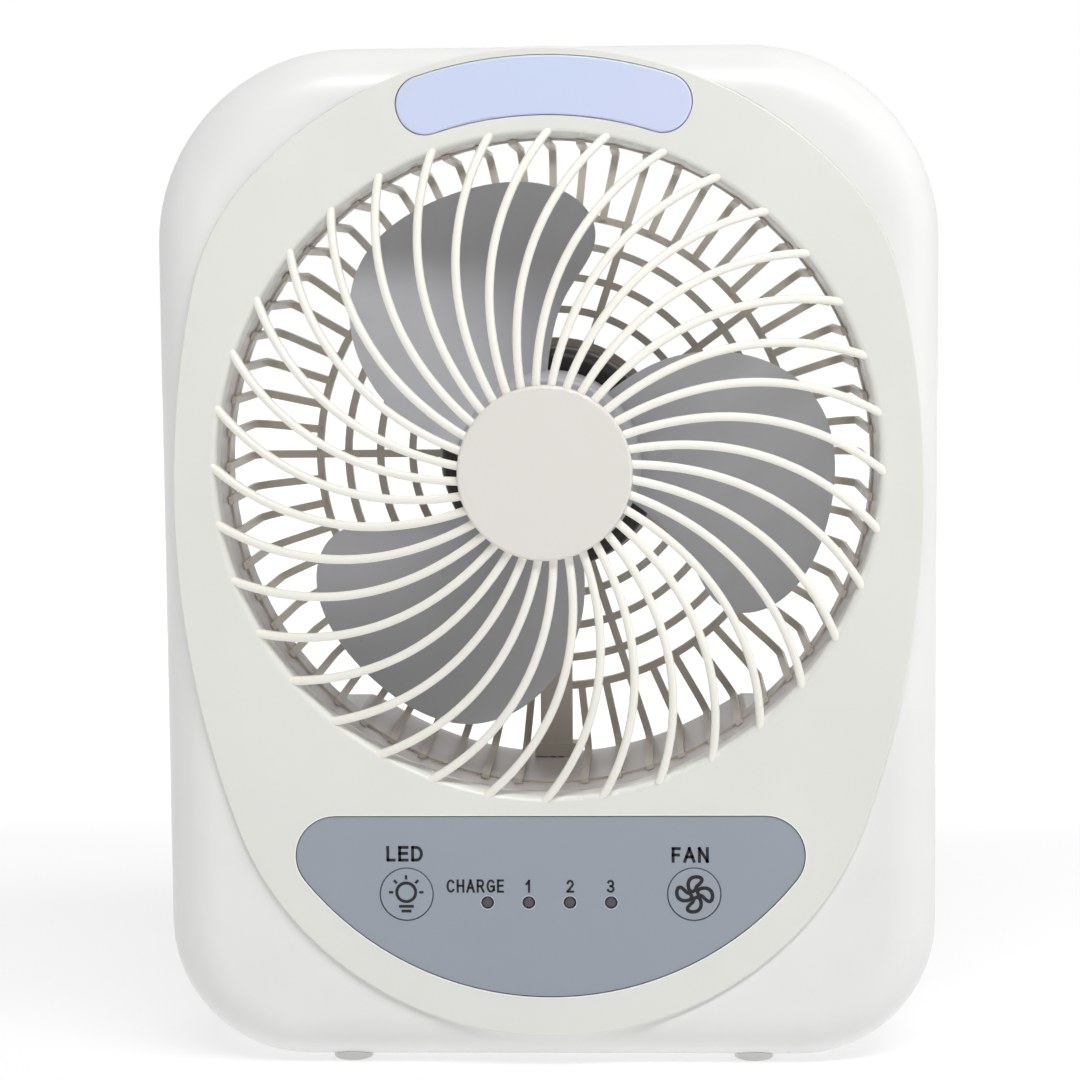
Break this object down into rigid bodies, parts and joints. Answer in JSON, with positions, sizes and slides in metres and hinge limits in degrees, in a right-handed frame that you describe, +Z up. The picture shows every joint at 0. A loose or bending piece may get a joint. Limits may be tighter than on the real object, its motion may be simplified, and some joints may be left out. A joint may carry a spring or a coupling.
{
  "type": "rechargeable box fan",
  "caption": "Rechargeable table box fan with a domed spiral grille, a turning blade rotor, a lamp above it, a push-button panel below and a battery base behind.",
  "frame": {"origin": "on the ground, under the middle of the bounding box", "axes": "+X to the right seen from the front, +Y from the front to the back, +Z up"},
  "size_m": [0.201, 0.084, 0.2642],
  "materials": {
    "housing": "satin white",
    "fascia": "satin white",
    "grille": "satin warm white",
    "guard": "satin cream",
    "lens": "frosted",
    "reflector": "matt white",
    "lamp_led": "clear",
    "panel_film": "satin grey",
    "button": "satin grey",
    "indicator": "clear",
    "rotor": "satin grey",
    "motor_cover": "matt black",
    "motor_steel": "plated",
    "magnet": "ground",
    "copper": "bare copper",
    "bronze": "sintered",
    "circuit_board": "solder mask",
    "connector": "matt black",
    "battery_case": "matt",
    "wire": "insulated",
    "screw": "zinc plated",
    "rubber": "matt"
  },
  "bodies": {
    "housing": {"front_housing": "housing", "rear_housing": "housing", "front_fascia": "fascia", "front_grille": "grille", "guard_wall": "guard", "guard_back": "guard", "wire_channel": "guard", "light_lens": "lens", "light_reflector": "reflector", "light_board": "circuit_board", "light_leds": "lamp_led", "light_screws": "screw", "control_panel": "panel_film", "control_board": "circuit_board", "board_connectors": "connector", "board_screws": "screw", "tact_switches": "connector", "indicator_leds": "indicator", "motor_cover": "motor_cover", "motor_can": "motor_steel", "motor_end_cap": "connector", "motor_magnets": "magnet", "motor_brushes": "copper", "front_bush": "bronze", "rear_bush": "bronze", "motor_screws": "screw", "battery": "battery_case", "battery_terminals": "motor_steel", "battery_strap": "motor_steel", "strap_screws": "screw", "charging_socket": "connector", "feet": "rubber", "housing_screws": "screw", "motor_wires": "wire", "battery_wires": "wire", "socket_wires": "wire", "lamp_wires": "wire"},
    "rotor": {"motor_shaft": "motor_steel", "armature_core": "motor_steel", "armature_windings": "copper", "commutator": "copper", "blade_rotor": "rotor", "rotor_nut": "screw"},
    "light_button": {"light_button": "button"},
    "fan_button": {"fan_button": "button"}
  },
  "joints": [
    {"name": "rotor_spin", "type": "hinge", "parent": "housing", "child": "rotor", "pos_m": [0, 0.023, 0.1567], "axis": [0, 1, 0], "continuous": true},
    {"name": "light_button_press", "type": "slide", "parent": "housing", "child": "light_button", "axis": [0, 1, 0], "range_m": [0, 0.0005], "stiffness_N_per_m": 3000},
    {"name": "fan_button_press", "type": "slide", "parent": "housing", "child": "fan_button", "axis": [0, 1, 0], "range_m": [0, 0.0005], "stiffness_N_per_m": 3000}
  ]
}
